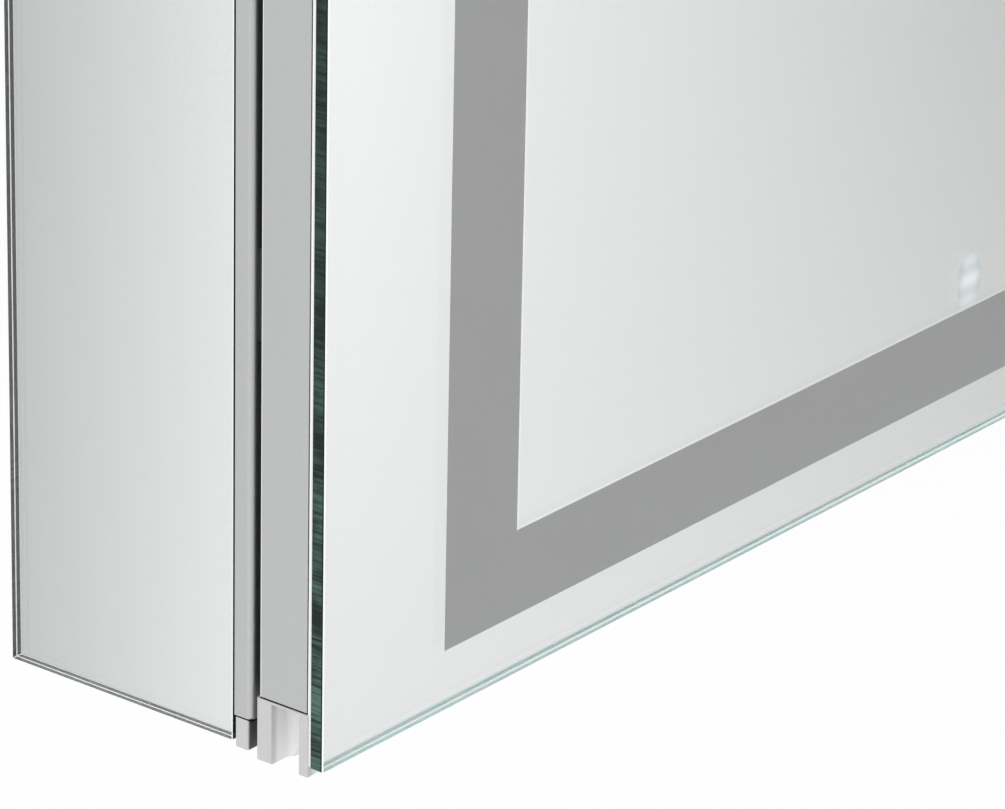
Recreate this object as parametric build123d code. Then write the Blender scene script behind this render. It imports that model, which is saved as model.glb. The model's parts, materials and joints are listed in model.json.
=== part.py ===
from build123d import *
import os

# Wall-hung medicine cabinet with a lit mirror door, in millimetres.
# X runs along the wall, the door faces -Y, Z is up. The origin is the centre of the wall face.

# --- driving sizes ---------------------------------------------------------------------------
width = 660.0            # over the side mirrors, and the door's full width
height = 762.0           # the door glass and the side mirrors
depth = 122.0            # wall to the front of the glass

glass = 5.0              # front glass thickness
arris = 0.4              # ground edge of the front glass
coating = 0.4            # silver and paint behind the glass, and the frosted film in its clear band
tape = 1.5               # foam between the front glass and the door frame
frame_depth = 17.6       # door frame, front to back
frame_wide = 13.0        # door frame section, seen from the front
frame_wall = 1.4
frame_inset = 0.4        # frame sides behind the glass edge
lip = 8.0                # inner lip of the frame, which carries the inner mirror
lip_thick = 1.6
door_gap = 3.3           # shadow gap between door frame and carcass

band_side_inset = 58.5   # glass edge to the upright stretch of the lit band
band_side = 33.7
band_end_inset = 17.9    # glass edge to the level stretch of the lit band
band_end = 27.8
mark_wide = 13.0         # touch mark, above the middle of the lower stretch
mark_high = 19.6
mark_up = 55.9           # its centre above the lower edge of the glass

cap_tall = 20.1          # door corner cap
cap_below = 3.3          # how far it stands past the glass edge
cap_front = 0.8          # air between the glass and the cap
cap_proud = 1.2          # cap's back face behind the frame's
channel_in = 9.0         # finger channel, into the cap from the side
channel_front = 4.1      # its front wall behind the rear of the glass
channel_wide = 10.5
seam = 0.5               # shadow line between a frame end, a post end or a side mirror and its neighbour
seam_deep = 1.0

post_nose = 6.6          # front post, front to back
post_wide = 15.6
post_wall = 1.5
post_round = 2.0
post_cap_tall = 10.0     # end cap under and over each post
post_cap_below = 2.1
post_cap_deep = 4.8

side_glass = 4.0
side_tape = 1.0
panel = 3.0              # carcass side, top and bottom panels
back_sheet = 1.2
fit = 0.2                # clearance round a plug or in a joint

shelf_thick = 5.0
shelf_levels = (-170.0, 10.0, 180.0)
peg_pitch = 32.0
peg_rows = 15
peg_hole = 2.5
peg_pin = 2.45
peg_shank = 3.0

wall_hole_x = 406.4      # wall stud pitch
wall_hole_z = 640.0
wall_hole = 3.25

knuckles = 27
hinge_long = 690.0
knuckle_r = 1.4
pin_r = 0.7
leaf_thick = 0.7
leaf_wide = 10.2
hinge_screws = 8
screw_shank = 0.9
screw_head = 1.7

# --- planes worked out from them -------------------------------------------------------------
half_w = width / 2
half_h = height / 2
front = -depth
glass_back = front + glass
frame_front = glass_back + tape
frame_back = frame_front + frame_depth
post_front = frame_back + door_gap
post_back = post_front + post_nose
frame_x = half_w - frame_inset
frame_z = half_h - frame_inset - 0.2
lip_back = frame_back - 4.4
cap_high = -half_h - cap_below + cap_tall
stile_half = -cap_high - seam
post_cap_high = -half_h - post_cap_below + post_cap_tall
post_half = -post_cap_high - seam
panel_out = half_w - side_glass - side_tape
panel_in = panel_out - panel
hinge_x = half_w + 0.2
hinge_y = (frame_back + post_front) / 2
mark_z = -half_h + mark_up


def slab(x0, x1, y0, y1, z0, z1):
    """A block between two corners, given in any order."""
    size = (abs(x1 - x0), abs(y1 - y0), abs(z1 - z0))
    return Pos((x0 + x1) / 2, (y0 + y1) / 2, (z0 + z1) / 2) * Box(*size)


def ring(x_out, z_out, x_in, z_in, y0, y1):
    """A rectangular frame about the middle, seen from the front."""
    return slab(-x_out, x_out, y0, y1, -z_out, z_out) - slab(-x_in, x_in, y0 - 1, y1 + 1, -z_in, z_in)


def rod(radius, start, end):
    """A round rod between two points."""
    a = Vector(*start)
    b = Vector(*end)
    return Solid.extrude(Face(Wire(Edge.make_circle(radius, Plane(origin=a, z_dir=b - a)))), b - a)


def upright(outline, z0, z1):
    """A section drawn in plan as a list of corners, pulled from z0 to z1."""
    return extrude(Plane.XY.offset(z0) * make_face(Polyline(*outline, close=True).edges()), z1 - z0)


def level(outline, x0, x1):
    """A section drawn from the side as (y, z) corners, pulled from x0 to x1."""
    return extrude(Plane.YZ.offset(x0) * make_face(Polyline(*outline, close=True).edges()), x1 - x0)


def mirrored(part, side, end=-1):
    """Parts are drawn at the left and the bottom: side +1 mirrors to the right, end +1 to the top."""
    if side > 0:
        part = mirror(part, about=Plane.YZ)
    if end > 0:
        part = mirror(part, about=Plane.XY)
    return part


def group(solids):
    """Separate solids that share one node."""
    return Compound(children=[s.solid() if not isinstance(s, Solid) else s for s in solids])


SIDES = (("left", -1), ("right", 1))
ENDS = (("bottom", -1), ("top", 1))
nodes = {}

# --- door: glass, coatings and light ---------------------------------------------------------
front_glass = slab(-half_w, half_w, front, glass_back, -half_h, half_h)
nodes["front_glass"] = chamfer(front_glass.edges(), arris)

band_x = half_w - band_side_inset
band_z = half_h - band_end_inset
band_in_x = band_x - band_side
band_in_z = band_z - band_end
coat_back = glass_back + coating

mark = SlotCenterToCenter(mark_high - mark_wide, mark_wide, rotation=90)
mark_plane = Plane(origin=(0, coat_back, mark_z), x_dir=(1, 0, 0), z_dir=(0, -1, 0))
mark_body = extrude(mark_plane * mark, coating)
nodes["touch_mark"] = mark_body
nodes["margin_silvering"] = ring(half_w - arris, half_h - arris, band_x, band_z, glass_back, coat_back)
nodes["centre_silvering"] = slab(-band_in_x, band_in_x, glass_back, coat_back, -band_in_z, band_in_z) - mark_body
nodes["frosted_band"] = ring(band_x, band_z, band_in_x, band_in_z, glass_back, coat_back)

diffuser = 2.0
spread = 1.5             # diffuser past the band, each way
nodes["light_diffuser"] = ring(band_x + spread, band_z + spread, band_in_x - spread,
                               band_in_z - spread, coat_back, coat_back + diffuser)

carrier_wide = 20.0
carrier_thick = 1.5
strip_wide = 10.0
strip_thick = 0.4
chip = 5.0
chip_pitch = 20.0
carrier_back = lip_back - lip_thick
carrier_front = carrier_back - carrier_thick
mid_x = (band_x + band_in_x) / 2
mid_z = (band_z + band_in_z) / 2


def band_ring(wide, y0, y1):
    """A frame of the given width along the middle line of the band."""
    out = wide / 2
    return ring(mid_x + out, mid_z + out, mid_x - out, mid_z - out, y0, y1)


nodes["light_carrier"] = band_ring(carrier_wide, carrier_front, carrier_back)
strip_front = carrier_front - strip_thick
nodes["light_strip"] = band_ring(strip_wide, strip_front, carrier_front)


def chip_places():
    """Centres of the light chips, evenly along the four runs of the strip."""
    across = int((mid_x - chip_pitch) // chip_pitch)
    along = int((mid_z - chip_pitch) // chip_pitch)
    for side in (-1, 1):
        for i in range(-across, across + 1):
            yield i * chip_pitch, side * mid_z
        for i in range(-along, along + 1):
            yield side * mid_x, i * chip_pitch


chips = [slab(x - chip / 2, x + chip / 2, strip_front - 1.4, strip_front, z - chip / 2, z + chip / 2)
         for x, z in chip_places()]
nodes["light_chips"] = group(chips)
nodes["demister_pad"] = slab(-180, 180, coat_back, coat_back + 0.5, -130, 130)
sensor_low = -band_in_z + spread + 0.6
nodes["touch_sensor"] = fillet(
    slab(-17, 17, coat_back, coat_back + 6, sensor_low, sensor_low + 26).edges().filter_by(Axis.Y), 3)

# --- door: frame, corner caps and inner mirror -----------------------------------------------
tape_wide = 10.0
tape_in = 3.0
tapes = []
for side in (-1, 1):
    edge = side * (half_w - tape_in)
    tapes.append(slab(edge, edge - side * tape_wide, glass_back, frame_front, -stile_half, stile_half))
    edge = side * (half_h - tape_in)
    run = frame_x - frame_wide
    tapes.append(slab(-run, run, glass_back, frame_front, edge, edge - side * tape_wide))
# the coating reaches under the foam, so the foam is thinned by it
nodes["glass_tape"] = group([t - slab(-half_w, half_w, glass_back, coat_back, -half_h, half_h) for t in tapes])


def frame_section(side_pos):
    """Hollow frame section with its lip, as (across, y) corners: across runs inwards from side_pos."""
    a0 = side_pos
    a1 = side_pos + frame_wide
    a2 = a1 + lip
    f0 = frame_front
    b0 = frame_back
    l0 = lip_back - lip_thick
    outer = [(a0, f0), (a1, f0), (a1, l0), (a2, l0), (a2, lip_back), (a1, lip_back), (a1, b0), (a0, b0)]
    hollow = [(a0 + frame_wall, f0 + frame_wall), (a1 - frame_wall, f0 + frame_wall),
              (a1 - frame_wall, b0 - frame_wall), (a0 + frame_wall, b0 - frame_wall)]
    return outer, hollow


def stile():
    """Left upright of the door frame."""
    outer, hollow = frame_section(-frame_x)
    return upright(outer, -stile_half, stile_half) - upright(hollow, -stile_half - 1, stile_half + 1)


def door_rail():
    """Bottom rail of the door frame, between the stiles."""
    outer, hollow = frame_section(-frame_z)
    run = frame_x - frame_wide
    body = level([(y, z) for z, y in outer], -run, run)
    # the lip stops against the stiles' lips
    for side in (-1, 1):
        body -= slab(side * run, side * (run - lip), lip_back - lip_thick - 1, lip_back + 1,
                     -frame_z + frame_wide, -frame_z + frame_wide + lip + 1)
    return body - level([(y, z) for z, y in hollow], -run - 1, run + 1)


screw_zs = [(i - (hinge_screws - 1) / 2) * hinge_long / hinge_screws for i in range(hinge_screws)]
screw_x = hinge_x - leaf_wide / 2 - 1.2


def hinge_screw_row(face_y, way):
    """Holes and screws along one leaf: way is +1 where the screws point to +Y."""
    leaf_face = face_y - way * leaf_thick
    holes = []
    screws = []
    for z in screw_zs:
        tip = (screw_x, face_y + way * 5, z)
        holes.append(rod(screw_shank + 0.1, (screw_x, leaf_face - way, z), tip))
        head = rod(screw_head, (screw_x, leaf_face - way * 0.45, z), (screw_x, leaf_face, z))
        screws.append(head + rod(screw_shank, (screw_x, leaf_face, z), (screw_x, face_y + way * 4.5, z)))
    return holes, screws


door_holes, door_screws = hinge_screw_row(frame_back, -1)
post_holes, post_screws = hinge_screw_row(post_front, 1)

for name, side in SIDES:
    body = mirrored(stile(), side)
    if side > 0:
        body = body - door_holes
    nodes["door_stile_" + name] = body
for name, end in ENDS:
    nodes["door_rail_" + name] = mirrored(door_rail(), -1, end)


def corner_cap():
    """Moulded end of the left stile, with a finger channel open to the side and below."""
    x_out = -half_w + 0.1
    x_in = -frame_x + frame_wide - fit
    low = -half_h - cap_below
    y_front = glass_back + cap_front
    y_back = frame_back + cap_proud
    body = slab(x_out, x_in, y_front, y_back, low, cap_high)
    outer = body.edges().filter_by(Axis.Z).group_by(Axis.X)[0]
    body = fillet(outer, 0.6)
    body = fillet(body.faces().sort_by(Axis.Z)[0].edges(), 0.5)
    y0 = glass_back + channel_front
    y1 = y0 + channel_wide
    x_floor = x_out + channel_in
    roof = 0.7
    channel = slab(x_out - 2, x_floor, y0, y1, low - 1, cap_high - roof)
    inner = channel.edges().filter_by(Axis.Z).group_by(Axis.X)[-1]
    rear_edge = inner.sort_by(Axis.Y)[-1]
    channel = fillet(rear_edge, 2.6)
    front_edge = channel.edges().filter_by(Axis.Z).group_by(Axis.X)[-1].sort_by(Axis.Y)[0]
    channel = fillet(front_edge, 1.2)
    body -= channel
    middle = (y0 + y1) / 2
    body -= rod(3.8, (x_floor - 3, middle, low), (x_in + 1, middle, low))
    neck = slab(-frame_x + seam_deep, x_in - seam_deep, frame_front + seam_deep, frame_back - seam_deep,
                cap_high, cap_high + seam)
    plug = slab(-frame_x + frame_wall + fit, x_in - frame_wall, frame_front + frame_wall + fit,
                frame_back - frame_wall - fit, cap_high, cap_high + 12)
    return body + neck + plug


for end_name, end in ENDS:
    for side_name, side in SIDES:
        nodes["door_cap_" + end_name + "_" + side_name] = mirrored(corner_cap(), side, end)

mirror_thick = 3.0
inner_x = frame_x - frame_wide - 0.6
inner_z = frame_z - frame_wide - 0.6
nodes["inner_mirror"] = chamfer(
    slab(-inner_x, inner_x, lip_back, lip_back + mirror_thick, -inner_z, inner_z).edges(), 0.4)
nodes["inner_mirror_gasket"] = ring(frame_x - frame_wide, frame_z - frame_wide, frame_x - frame_wide - 5,
                                    frame_z - frame_wide - 5, lip_back + mirror_thick, frame_back)

catch_zs = (-240.0, 240.0)
catch_x = -frame_x + 7.0
nodes["strike_plates"] = group(
    [slab(catch_x - 4, catch_x + 4, frame_back, frame_back + 0.8, z - 16, z + 16) for z in catch_zs])

# --- carcass: posts, panels and side mirrors -------------------------------------------------
side_front = post_back


def post():
    """Left front post: a hollow nose with a rounded corner, and a leg behind the side panel."""
    x0 = -frame_x
    x1 = x0 + post_wide
    nose = slab(x0, x1, post_front, post_back, -post_half, post_half)
    corner = nose.edges().filter_by(Axis.Z).group_by(Axis.X)[0].sort_by(Axis.Y)[0]
    nose = fillet(corner, post_round)
    leg = slab(-panel_in + 0.2, -panel_in + 0.2 + post_wall, post_back, post_back + 14, -post_half, post_half)
    hollow = slab(x0 + post_wall, x1 - post_wall, post_front + post_wall, post_back - post_wall,
                  -post_half - 1, post_half + 1)
    return nose + leg - hollow


def front_rail():
    """Bottom front rail of the carcass, between the posts."""
    run = frame_x - post_wide
    nose = slab(-run, run, post_front, post_back, -frame_z, -frame_z + post_wide)
    leg_z = -frame_z + panel + 0.2
    leg = slab(-run, run, post_back, post_back + 14, leg_z, leg_z + post_wall)
    hollow = slab(-run - 1, run + 1, post_front + post_wall, post_back - post_wall,
                  -frame_z + post_wall, -frame_z + post_wide - post_wall)
    return nose + leg - hollow


def post_cap():
    """Small moulded cap under the left front post."""
    x0 = -frame_x
    x1 = x0 + post_wide - fit
    y0 = post_front + 1.2
    low = -half_h - post_cap_below
    body = slab(x0, x1, y0, y0 + post_cap_deep, low, post_cap_high)
    corner = body.edges().filter_by(Axis.Z).group_by(Axis.X)[0].sort_by(Axis.Y)[0]
    body = fillet(corner, 1.2)
    body = fillet(body.faces().sort_by(Axis.Z)[0].edges(), 1.0)
    neck = slab(x0 + seam_deep, x1 - seam_deep, y0 + 0.4, post_back - seam_deep, post_cap_high,
                post_cap_high + seam)
    plug = slab(x0 + post_wall + fit, x1 - post_wall, post_front + post_wall + fit, post_back - post_wall - fit,
                post_cap_high, post_cap_high + 10)
    return body + neck + plug


for name, side in SIDES:
    body = mirrored(post(), side)
    if side > 0:
        body = body - post_holes
    nodes["front_post_" + name] = body
for name, end in ENDS:
    nodes["front_rail_" + name] = mirrored(front_rail(), -1, end)
for end_name, end in ENDS:
    for side_name, side in SIDES:
        nodes["post_cap_" + end_name + "_" + side_name] = mirrored(post_cap(), side, end)

back_y = -back_sheet
for name, side in SIDES:
    mirror_slab = slab(-half_w, -half_w + side_glass, side_front + seam, -0.3, -half_h, half_h)
    nodes["side_mirror_" + name] = mirrored(chamfer(mirror_slab.edges(), arris), side)
    nodes["side_panel_" + name] = mirrored(
        slab(-panel_out, -panel_in, side_front, back_y, -frame_z + panel, frame_z - panel), side)
side_tapes = []
for side in (-1, 1):
    for y in (-80.0, -45.0, -12.0):
        edge = side * panel_out
        side_tapes.append(slab(edge, edge + side * side_tape, y - 6, y + 6, -half_h + 6, half_h - 6))
nodes["side_mirror_tapes"] = group(side_tapes)
for name, end in ENDS:
    nodes[name + "_panel"] = mirrored(
        slab(-panel_out, panel_out, post_back, back_y, -frame_z, -frame_z + panel), -1, end)

gland_x = 150.0
gland_z = 361.0
gland_r = 11.0
back = slab(-panel_out, panel_out, back_y, 0, -frame_z, frame_z)
for x in (-wall_hole_x / 2, wall_hole_x / 2):
    for z in (-wall_hole_z / 2, wall_hole_z / 2):
        back -= rod(wall_hole, (x, -5, z), (x, 5, z))
back -= rod(gland_r, (gland_x, -5, gland_z), (gland_x, 5, gland_z))
nodes["back_panel"] = back
gland = rod(gland_r - 0.1, (gland_x, -3.2, gland_z), (gland_x, -0.1, gland_z))
gland += rod(gland_r + 2.5, (gland_x, -3.2, gland_z), (gland_x, back_y, gland_z))
nodes["cable_gland"] = gland - rod(4.0, (gland_x, -5, gland_z), (gland_x, 1, gland_z))

angle_leg = 8.0
angle_wall = 1.5
for name, side in SIDES:
    x0 = -panel_in
    y0 = back_y
    outline = [(x0, y0), (x0 + angle_leg, y0), (x0 + angle_leg, y0 - angle_wall),
               (x0 + angle_wall, y0 - angle_wall), (x0 + angle_wall, y0 - angle_leg), (x0, y0 - angle_leg)]
    reach = frame_z - panel
    nodes["rear_angle_" + name] = mirrored(upright(outline, -reach, reach), side)

back_mirror_x = 306.0
back_mirror_z = 298.0
nodes["back_mirror"] = chamfer(
    slab(-back_mirror_x, back_mirror_x, back_y - 0.6 - mirror_thick, back_y - 0.6,
         -back_mirror_z, back_mirror_z).edges(), 0.4)
nodes["back_mirror_tapes"] = group(
    [slab(x - 10, x + 10, back_y - 0.6, back_y, -280, 280) for x in (-240, -80, 80, 240)])

# --- carcass: shelves on pegs ----------------------------------------------------------------
strip_thick_x = 2.5
peg_ys = (-64.0, -24.0)
shelf_ends = 317.5
shelf_front = -81.0
shelf_back = -11.0
strip_in = panel_in - strip_thick_x
hole_zs = [(i - (peg_rows - 1) / 2) * peg_pitch for i in range(peg_rows)]
for name, side in SIDES:
    strips = []
    for y in peg_ys:
        strip = slab(-panel_in, -strip_in, y - 7, y + 7, -250, 250)
        strip -= [rod(peg_hole, (-panel_in - 1, y, z), (-strip_in + 1, y, z)) for z in hole_zs]
        strips.append(mirrored(strip, side))
    nodes["peg_strips_" + name] = group(strips)


def nearest_hole(z):
    """The peg hole just under a shelf that should be near z."""
    return min(hole_zs, key=lambda h: abs(h - z))


pegs = []
for number, wanted in enumerate(shelf_levels, 1):
    z = nearest_hole(wanted)
    under = z + peg_shank
    shelf = slab(-shelf_ends, shelf_ends, shelf_front, shelf_back, under, under + shelf_thick)
    nodes["glass_shelf_" + str(number)] = chamfer(shelf.edges(), 0.6)
    for side in (-1, 1):
        for y in peg_ys:
            peg = rod(peg_pin, (-panel_in + 0.1, y, z), (-strip_in, y, z))
            peg += rod(4.0, (-strip_in, y, z), (-strip_in + 1.4, y, z))
            peg += rod(peg_shank, (-strip_in + 1.4, y, z), (-strip_in + 11, y, z))
            pegs.append(mirrored(peg, side))
nodes["shelf_pegs"] = group(pegs)

# --- carcass: power supply under its cover ---------------------------------------------------
under_top = frame_z - panel
cover_x = 210.0
cover_front = -62.0
cover_low = 343.0
sheet = 1.0
cover = slab(-cover_x, cover_x, cover_front, back_y - 0.3, cover_low, under_top)
cover -= slab(-cover_x + sheet, cover_x - sheet, cover_front + sheet, 0, cover_low + sheet, under_top + 1)
nodes["wiring_cover"] = cover
nodes["power_supply"] = fillet(slab(-85, 85, -54, -8, 350, under_top).edges().filter_by(Axis.Z), 3)
block = slab(112, 138, -50, -22, 360, under_top)
block -= [rod(1.6, (x, -50.5, 364), (x, -40, 364)) for x in (118, 125, 132)]
nodes["terminal_block"] = block

# --- hinge, catches and seal -----------------------------------------------------------------
knuckle = hinge_long / knuckles
barrel_gap = 0.3


def leaf(face_y, way, first):
    """One hinge leaf with every other knuckle: way is +1 where the leaf lies on a face to its +Y."""
    back_face = face_y - way * leaf_thick
    plate = slab(hinge_x - leaf_wide, hinge_x - knuckle_r - 0.35, back_face, face_y,
                 -hinge_long / 2, hinge_long / 2)
    for i in range(first, knuckles, 2):
        z0 = -hinge_long / 2 + i * knuckle + barrel_gap / 2
        z1 = z0 + knuckle - barrel_gap
        plate += slab(hinge_x - leaf_wide, hinge_x, back_face, face_y - way * 0.02, z0, z1)
        plate += rod(knuckle_r, (hinge_x, hinge_y, z0), (hinge_x, hinge_y, z1))
    return plate - rod(pin_r + 0.05, (hinge_x, hinge_y, -hinge_long), (hinge_x, hinge_y, hinge_long))


nodes["hinge_leaf_cabinet"] = leaf(post_front, 1, 0) - post_holes
nodes["hinge_leaf_door"] = leaf(frame_back, -1, 1) - door_holes
pin = rod(pin_r, (hinge_x, hinge_y, -hinge_long / 2 - 1.5), (hinge_x, hinge_y, hinge_long / 2 + 1.5))
for end in (-1, 1):
    tip = end * hinge_long / 2
    pin += rod(knuckle_r, (hinge_x, hinge_y, tip + end * 0.2), (hinge_x, hinge_y, tip + end * 1.5))
nodes["hinge_pin"] = pin
nodes["hinge_screws_cabinet"] = group(post_screws)
nodes["hinge_screws_door"] = group(door_screws)
nodes["magnet_catches"] = group(
    [slab(catch_x - 4, catch_x + 4, post_front - 0.8, post_front, z - 14, z + 14) for z in catch_zs])

seal_out_x = frame_x - post_wide + 3.6
seal_out_z = frame_z - post_wide + 3.6
seal_thick = 1.7
nodes["door_seal"] = ring(seal_out_x, seal_out_z, seal_out_x - 3, seal_out_z - 3,
                          post_front - seal_thick, post_front)

# --- write one file per node -----------------------------------------------------------------
os.makedirs("parts", exist_ok=True)
for name, shape in nodes.items():
    export_step(shape, "parts/" + name + ".step")
print(len(nodes), "nodes")
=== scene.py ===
import json
import math

import bmesh
import bpy
from mathutils import Matrix, Vector


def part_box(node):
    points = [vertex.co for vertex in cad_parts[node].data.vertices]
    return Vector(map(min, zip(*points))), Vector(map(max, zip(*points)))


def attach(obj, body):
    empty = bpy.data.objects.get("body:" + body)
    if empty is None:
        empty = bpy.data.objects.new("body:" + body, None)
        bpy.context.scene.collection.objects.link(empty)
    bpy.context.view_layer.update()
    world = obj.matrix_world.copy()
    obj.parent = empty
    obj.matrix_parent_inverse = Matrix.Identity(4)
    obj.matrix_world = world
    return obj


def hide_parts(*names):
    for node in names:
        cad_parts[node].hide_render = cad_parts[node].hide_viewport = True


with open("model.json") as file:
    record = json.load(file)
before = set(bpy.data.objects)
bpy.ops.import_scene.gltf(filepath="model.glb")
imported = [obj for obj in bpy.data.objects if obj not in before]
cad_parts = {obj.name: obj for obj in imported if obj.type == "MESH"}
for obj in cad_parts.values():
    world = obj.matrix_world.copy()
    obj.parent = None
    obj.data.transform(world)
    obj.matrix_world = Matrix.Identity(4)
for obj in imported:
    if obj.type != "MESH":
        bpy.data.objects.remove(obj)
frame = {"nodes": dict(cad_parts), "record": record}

MM = 0.001
NODES = frame["nodes"]
SLOT_OF = {part["node"]: part["material_slot"] for part in frame["record"]["subparts"]}
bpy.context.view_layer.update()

# ---- camera ---------------------------------------------------------------------------------
# Close on the lower corner of the door, seen from its left and a little above.
CAMERA_YAW = math.radians(52.10)
CAMERA_DOWN = math.radians(22.54)
CAMERA_ROLL = math.radians(-1.18)
CAMERA_PLACE = Vector((-1.5319, -1.1208, 0.3842))
LENS = 214.9
SENSOR = 36.0


def make_camera():
    data = bpy.data.cameras.new("close_view")
    data.lens = LENS
    data.sensor_width = SENSOR
    data.clip_start = 0.05
    data.clip_end = 100.0
    camera = bpy.data.objects.new("close_view", data)
    bpy.context.scene.collection.objects.link(camera)
    ahead = Vector((math.sin(CAMERA_YAW) * math.cos(CAMERA_DOWN),
                    math.cos(CAMERA_YAW) * math.cos(CAMERA_DOWN), -math.sin(CAMERA_DOWN)))
    level = Vector((math.cos(CAMERA_YAW), -math.sin(CAMERA_YAW), 0.0))
    down = ahead.cross(level)
    right = math.cos(CAMERA_ROLL) * level + math.sin(CAMERA_ROLL) * down
    up = -(math.cos(CAMERA_ROLL) * down - math.sin(CAMERA_ROLL) * level)
    turn = Matrix((right, up, -ahead)).transposed()
    camera.rotation_mode = "QUATERNION"
    camera.rotation_quaternion = turn.to_quaternion()
    camera.location = CAMERA_PLACE
    bpy.context.scene.camera = camera


# ---- node helpers ---------------------------------------------------------------------------
def material(name):
    """A new material with its Principled shader."""
    made = bpy.data.materials.new(name)
    made.use_nodes = True
    shader = made.node_tree.nodes["Principled BSDF"]
    return made, shader


def add(tree, kind, **sockets):
    """A node of that kind; keywords with capitals set its inputs, the others its properties."""
    node = tree.nodes.new(kind)
    for key, value in sockets.items():
        if key[0].isupper():
            node.inputs[key.replace("_", " ")].default_value = value
        else:
            setattr(node, key, value)
    return node


def wire(tree, start, out, end, into):
    tree.links.new(start.outputs[out], end.inputs[into])


def new_group(name, inputs, outputs):
    """An empty shader group with named sockets: each is (name, kind, default)."""
    group = bpy.data.node_groups.new(name, "ShaderNodeTree")
    for label, kind, default in inputs:
        socket = group.interface.new_socket(label, in_out="INPUT", socket_type=kind)
        if default is not None:
            socket.default_value = default
    for label, kind in outputs:
        group.interface.new_socket(label, in_out="OUTPUT", socket_type=kind)
    return group, group.nodes.new("NodeGroupInput"), group.nodes.new("NodeGroupOutput")


FLOAT = "NodeSocketFloat"
COLOUR = "NodeSocketColor"
VECTOR = "NodeSocketVector"


def ramp_between(tree, low, high, start, end):
    """A ramp from value low to value high, as the input goes from start to end."""
    node = add(tree, "ShaderNodeMapRange", From_Min=start, From_Max=end, To_Min=low, To_Max=high)
    node.interpolation_type = "SMOOTHSTEP"
    return node


def drawn_lines():
    """Fine lines that run along an extruded or rolled piece: stretch sets the direction."""
    group, given, out = new_group(
        "DrawnLines", [("Stretch", VECTOR, (900.0, 900.0, 4.0)), ("Low", FLOAT, 0.3), ("High", FLOAT, 0.4)],
        [("Roughness", FLOAT), ("Height", FLOAT)])
    place = add(group, "ShaderNodeTexCoord")
    scaled = add(group, "ShaderNodeVectorMath", operation="MULTIPLY")
    wire(group, place, "Object", scaled, 0)
    wire(group, given, "Stretch", scaled, 1)
    lines = add(group, "ShaderNodeTexNoise", Scale=1.0, Detail=3.0, Roughness=0.6)
    wire(group, scaled, "Vector", lines, "Vector")
    rough = add(group, "ShaderNodeMapRange", From_Min=0.3, From_Max=0.7)
    wire(group, lines, "Fac", rough, "Value")
    wire(group, given, "Low", rough, "To Min")
    wire(group, given, "High", rough, "To Max")
    wire(group, rough, "Result", out, "Roughness")
    wire(group, lines, "Fac", out, "Height")
    return group


def fine_grain():
    """Small even grain of a moulded, coated or blasted surface, with faint larger clouds."""
    group, given, out = new_group(
        "FineGrain", [("Grain", FLOAT, 1500.0), ("Cloud", FLOAT, 25.0),
                      ("Low", FLOAT, 0.4), ("High", FLOAT, 0.5),
                      ("Dark", COLOUR, (0.5, 0.5, 0.5, 1)), ("Light", COLOUR, (0.6, 0.6, 0.6, 1))],
        [("Color", COLOUR), ("Roughness", FLOAT), ("Height", FLOAT)])
    place = add(group, "ShaderNodeTexCoord")
    grain = add(group, "ShaderNodeTexNoise", Detail=2.0)
    wire(group, place, "Object", grain, "Vector")
    wire(group, given, "Grain", grain, "Scale")
    cloud = add(group, "ShaderNodeTexNoise", Detail=4.0)
    wire(group, place, "Object", cloud, "Vector")
    wire(group, given, "Cloud", cloud, "Scale")
    rough = add(group, "ShaderNodeMapRange", From_Min=0.3, From_Max=0.7)
    wire(group, cloud, "Fac", rough, "Value")
    wire(group, given, "Low", rough, "To Min")
    wire(group, given, "High", rough, "To Max")
    shade = add(group, "ShaderNodeMix", data_type="RGBA")
    wire(group, cloud, "Fac", shade, 0)
    wire(group, given, "Dark", shade, 6)
    wire(group, given, "Light", shade, 7)
    group.links.new(shade.outputs[2], out.inputs["Color"])
    wire(group, rough, "Result", out, "Roughness")
    wire(group, grain, "Fac", out, "Height")
    return group


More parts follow.
